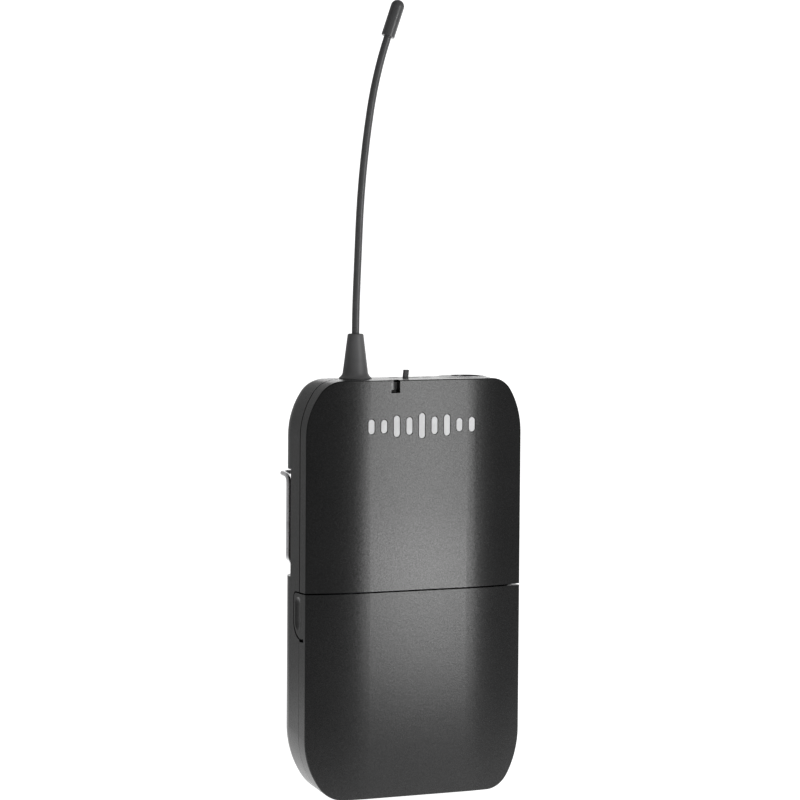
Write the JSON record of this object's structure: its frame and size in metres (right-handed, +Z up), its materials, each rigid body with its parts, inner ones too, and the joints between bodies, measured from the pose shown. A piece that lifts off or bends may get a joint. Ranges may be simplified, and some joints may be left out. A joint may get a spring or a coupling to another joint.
{
  "type": "wireless bodypack transmitter",
  "caption": "Pocket-size wireless audio transmitter: rounded flat case with whip antenna, top microphone socket and slide switch, wire belt clip and hinged battery door.",
  "frame": {"origin": "centre of the bottom face of the part's bounding box", "axes": "+Z up along the case towards the antenna, -Y is the front face with the battery door, +X to the right seen from the front"},
  "size_m": [0.0626, 0.0244, 0.2093],
  "materials": {
    "case_plastic": "fine spark-eroded texture, charcoal ABS",
    "inner_plastic": "smooth satin black ABS",
    "tab_plastic": "fine spark-eroded texture, charcoal ABS",
    "spring_steel": "bright nickel-plated spring wire",
    "elastomer": "satin black flexible moulding",
    "badge_grey": "light grey satin inlay",
    "label_film": "blank matt grey film",
    "foam": "closed-cell foam",
    "switch_plastic": "satin dark grey acetal",
    "light_lens": "smoked translucent light guide",
    "led_epoxy": "clear epoxy",
    "jack_metal": "dark nickel plating",
    "jack_plastic": "black glass-filled insulator",
    "contact_gold": "gold flash",
    "brass": "turned brass",
    "zinc_steel": "zinc-plated steel",
    "spring_nickel": "nickel-plated steel",
    "battery_jacket": "plain grey shrink film over a steel can",
    "panel_grey": "satin dark grey panel",
    "window_smoke": "smoked window",
    "display_dark": "black display body",
    "button_grey": "light grey satin button",
    "knob_white": "white nylon",
    "board_green": "solder mask",
    "tin": "tinned steel can",
    "chip_black": "moulded epoxy",
    "black_zinc": "black zinc-plated steel"
  },
  "bodies": {
    "case": {"front_housing": "case_plastic", "rear_housing": "case_plastic", "hinge_pins": "zinc_steel", "front_badge": "badge_grey", "rear_label": "label_film", "antenna_whip": "elastomer", "antenna_tip_cap": "elastomer", "antenna_boot": "elastomer", "antenna_socket": "brass", "power_switch_body": "zinc_steel", "status_light_pipe": "light_lens", "status_led": "led_epoxy", "jack_shell": "jack_metal", "jack_insulator": "jack_plastic", "jack_pins": "contact_gold", "jack_nut": "zinc_steel", "battery_left": "battery_jacket", "battery_right": "battery_jacket", "battery_springs": "spring_nickel", "battery_contacts": "spring_nickel", "bay_frame": "inner_plastic", "control_panel": "panel_grey", "display_window": "window_smoke", "display_module": "display_dark", "button_switches": "chip_black", "gain_trimmer": "chip_black", "control_board": "board_green", "main_board": "board_green", "rf_shield": "tin", "board_chips": "chip_black", "board_screws": "zinc_steel", "housing_screws": "black_zinc"},
    "door": {"battery_door": "case_plastic", "door_foam_pad": "foam"},
    "latch_right": {"door_latch_right": "tab_plastic"},
    "latch_left": {"door_latch_left": "tab_plastic"},
    "clip": {"belt_clip": "spring_steel"},
    "switch": {"power_switch_knob": "switch_plastic"},
    "group_key": {"group_button": "button_grey"},
    "channel_key": {"channel_button": "button_grey"},
    "gain": {"gain_knob": "knob_white"}
  },
  "joints": [
    {"name": "door_hinge", "type": "hinge", "parent": "case", "child": "door", "pos_m": [0, -0.0074, 0.00175], "axis": [1, 0, 0], "range_deg": [0, 90]},
    {"name": "latch_right_squeeze", "type": "slide", "parent": "door", "child": "latch_right", "axis": [-1, 0, 0], "range_m": [0, 0.0008], "stiffness_N_per_m": 600},
    {"name": "latch_left_squeeze", "type": "slide", "parent": "door", "child": "latch_left", "axis": [1, 0, 0], "range_m": [0, 0.0008], "stiffness_N_per_m": 600},
    {"name": "belt_clip_flex", "type": "hinge", "parent": "case", "child": "clip", "pos_m": [0, 0.006, 0.061], "axis": [1, 0, 0], "range_deg": [0, 6.5], "stiffness_Nm_per_rad": 0.02},
    {"name": "power_switch_slide", "type": "slide", "parent": "case", "child": "switch", "axis": [1, 0, 0], "range_m": [0, 0.0028]},
    {"name": "group_button_press", "type": "slide", "parent": "case", "child": "group_key", "axis": [0, 1, 0], "range_m": [0, 0.0004], "stiffness_N_per_m": 800},
    {"name": "channel_button_press", "type": "slide", "parent": "case", "child": "channel_key", "axis": [0, 1, 0], "range_m": [0, 0.0004], "stiffness_N_per_m": 800},
    {"name": "gain_turn", "type": "hinge", "parent": "case", "child": "gain", "pos_m": [0.0153, -0.0062, 0.017], "axis": [0, 1, 0], "range_deg": [-135, 135]}
  ]
}
